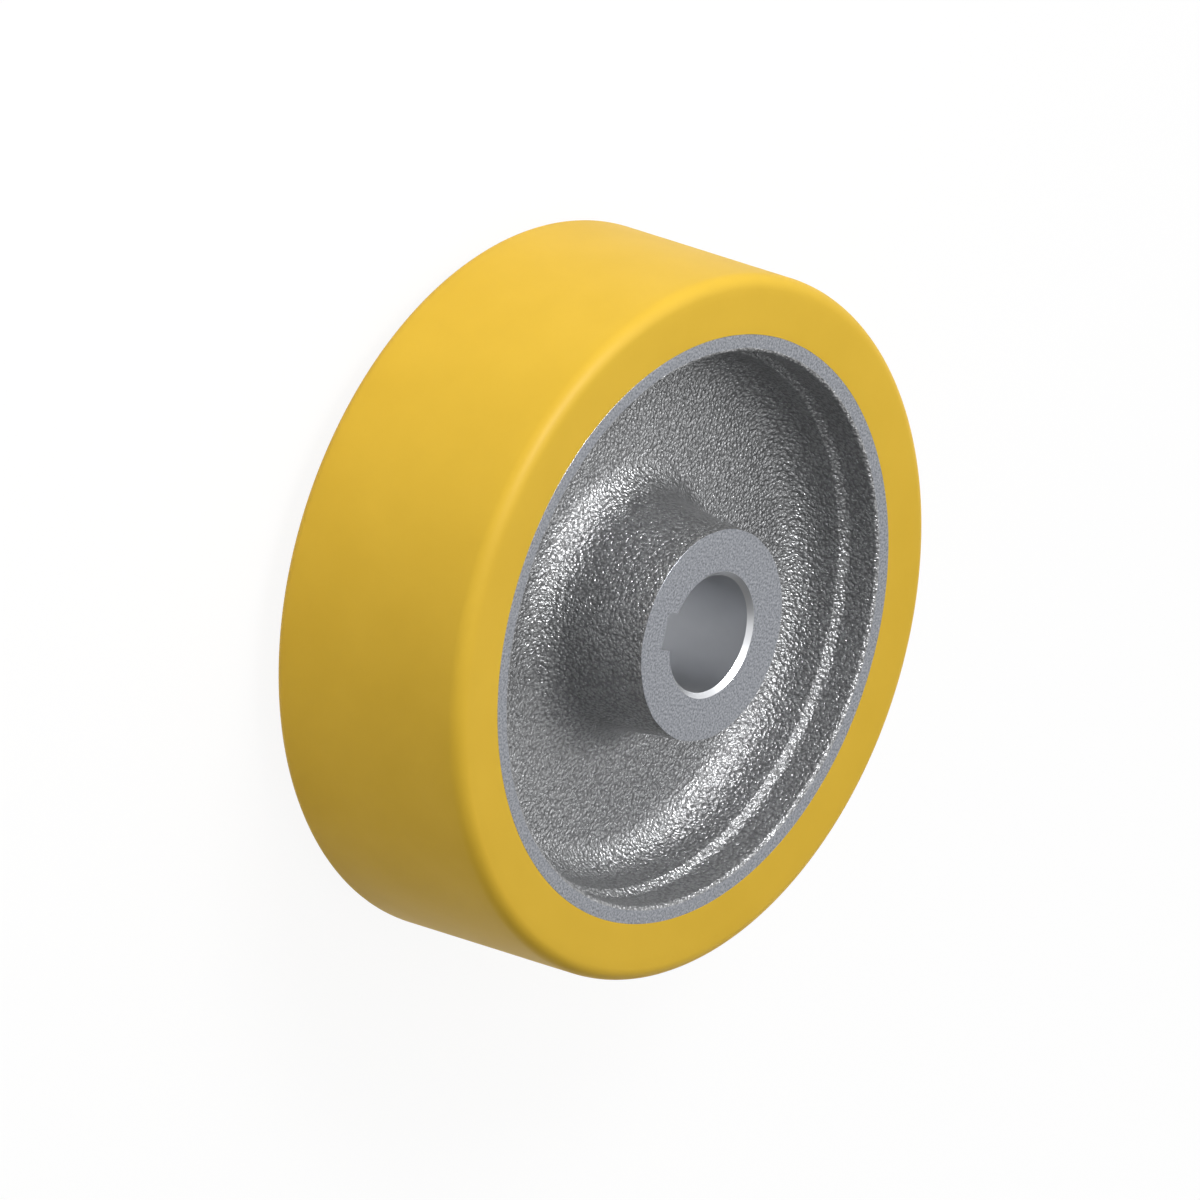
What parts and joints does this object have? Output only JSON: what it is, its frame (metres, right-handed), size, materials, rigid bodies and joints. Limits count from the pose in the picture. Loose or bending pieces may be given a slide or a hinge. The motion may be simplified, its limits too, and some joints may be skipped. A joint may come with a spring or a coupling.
{
  "type": "drive wheel",
  "caption": "Keyed drive wheel: a cast iron centre with rim, web and long hub, a plain bore with a keyway, and a polyurethane tread moulded round the rim.",
  "frame": {"origin": "middle of the bore, halfway along the hub and in the middle of the tread's width", "axes": "+Z along the bore, out of the upper side of the wheel, which lies on its lower hub end; +X from the bore's axis through the middle of the keyway"},
  "size_m": [0.15, 0.15, 0.06],
  "materials": {
    "casting": "satin",
    "polyurethane": "satin"
  },
  "bodies": {
    "root": {"wheel_centre": "casting", "tread": "polyurethane"}
  },
  "joints": []
}
